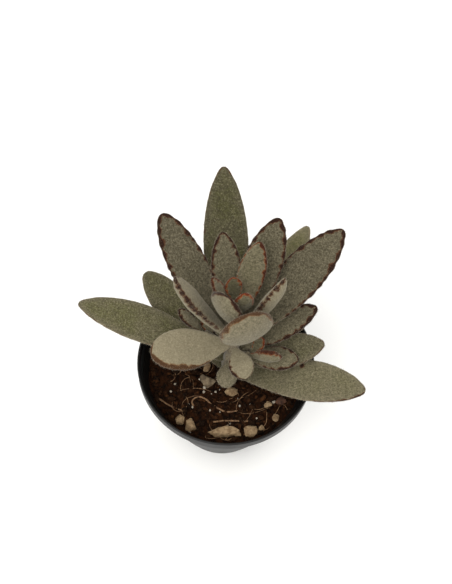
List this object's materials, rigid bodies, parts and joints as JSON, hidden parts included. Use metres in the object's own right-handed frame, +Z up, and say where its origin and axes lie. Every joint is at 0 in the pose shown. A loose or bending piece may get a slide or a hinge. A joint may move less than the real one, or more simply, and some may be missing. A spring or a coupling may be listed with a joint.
{
  "type": "potted kalanchoe",
  "caption": "Felted succulent with a rosette of thick grey-green leaves with brown-toothed edges, growing in a round tapered nursery pot of dark gritty soil.",
  "frame": {"origin": "centre of the pot's flat underside", "axes": "+Z up along the pot's axis; +X to the right and -Y towards the front, where the open soil shows"},
  "size_m": [0.1419, 0.1288, 0.1305],
  "materials": {
    "pot": "black injection-moulded plastic, semi-matt",
    "soil": "dark peat and bark potting mix, damp and rough",
    "stem": "felted grey-brown bark",
    "old_leaf": "thick green leaf under a short dense felt of hairs",
    "young_leaf": "thick grey leaf under a dense pale felt of hairs",
    "pebble": "tan porous grit",
    "bark": "red-brown bark",
    "root_fibre": "dry tan root"
  },
  "bodies": {
    "root": {"pot": "pot", "soil": "soil", "stem": "stem", "leaf_back_long": "old_leaf", "leaf_left_long": "old_leaf", "leaf_right_front_long": "old_leaf", "leaf_back_left_low": "old_leaf", "leaf_back_right_low": "old_leaf", "leaf_right_low": "old_leaf", "leaf_right_back_broad": "young_leaf", "leaf_left_back_broad": "young_leaf", "leaf_back_right_tall": "young_leaf", "leaf_right_mid": "young_leaf", "leaf_front_left_broad": "young_leaf", "leaf_front_drooping": "young_leaf", "leaf_front_low": "young_leaf", "leaf_back_left_upright": "young_leaf", "leaf_back_right_upright": "young_leaf", "leaf_left_upright": "young_leaf", "leaf_right_upright": "young_leaf", "leaf_front_cupped": "young_leaf", "leaf_front_left_upright": "young_leaf", "bud_leaf_left": "young_leaf", "bud_leaf_back": "young_leaf", "bud_leaf_front": "young_leaf", "left_shoot_outer_leaf": "young_leaf", "left_shoot_inner_leaf": "young_leaf", "front_shoot_outer_leaf": "young_leaf", "front_shoot_near_leaf": "young_leaf", "front_shoot_far_leaf": "young_leaf", "pebble_front_of_stem": "pebble", "pebble_grey": "pebble", "pebble_by_stem": "pebble", "pebble_left_a": "pebble", "pebble_left_b": "pebble", "pebble_front_chunk": "pebble", "pebble_front_right": "pebble", "pebble_small": "pebble", "pebble_right_a": "pebble", "pebble_right_b": "pebble", "bark_chip": "bark", "root_fibre_left": "root_fibre", "root_fibre_middle": "root_fibre", "root_fibre_front": "root_fibre"}
  },
  "joints": []
}
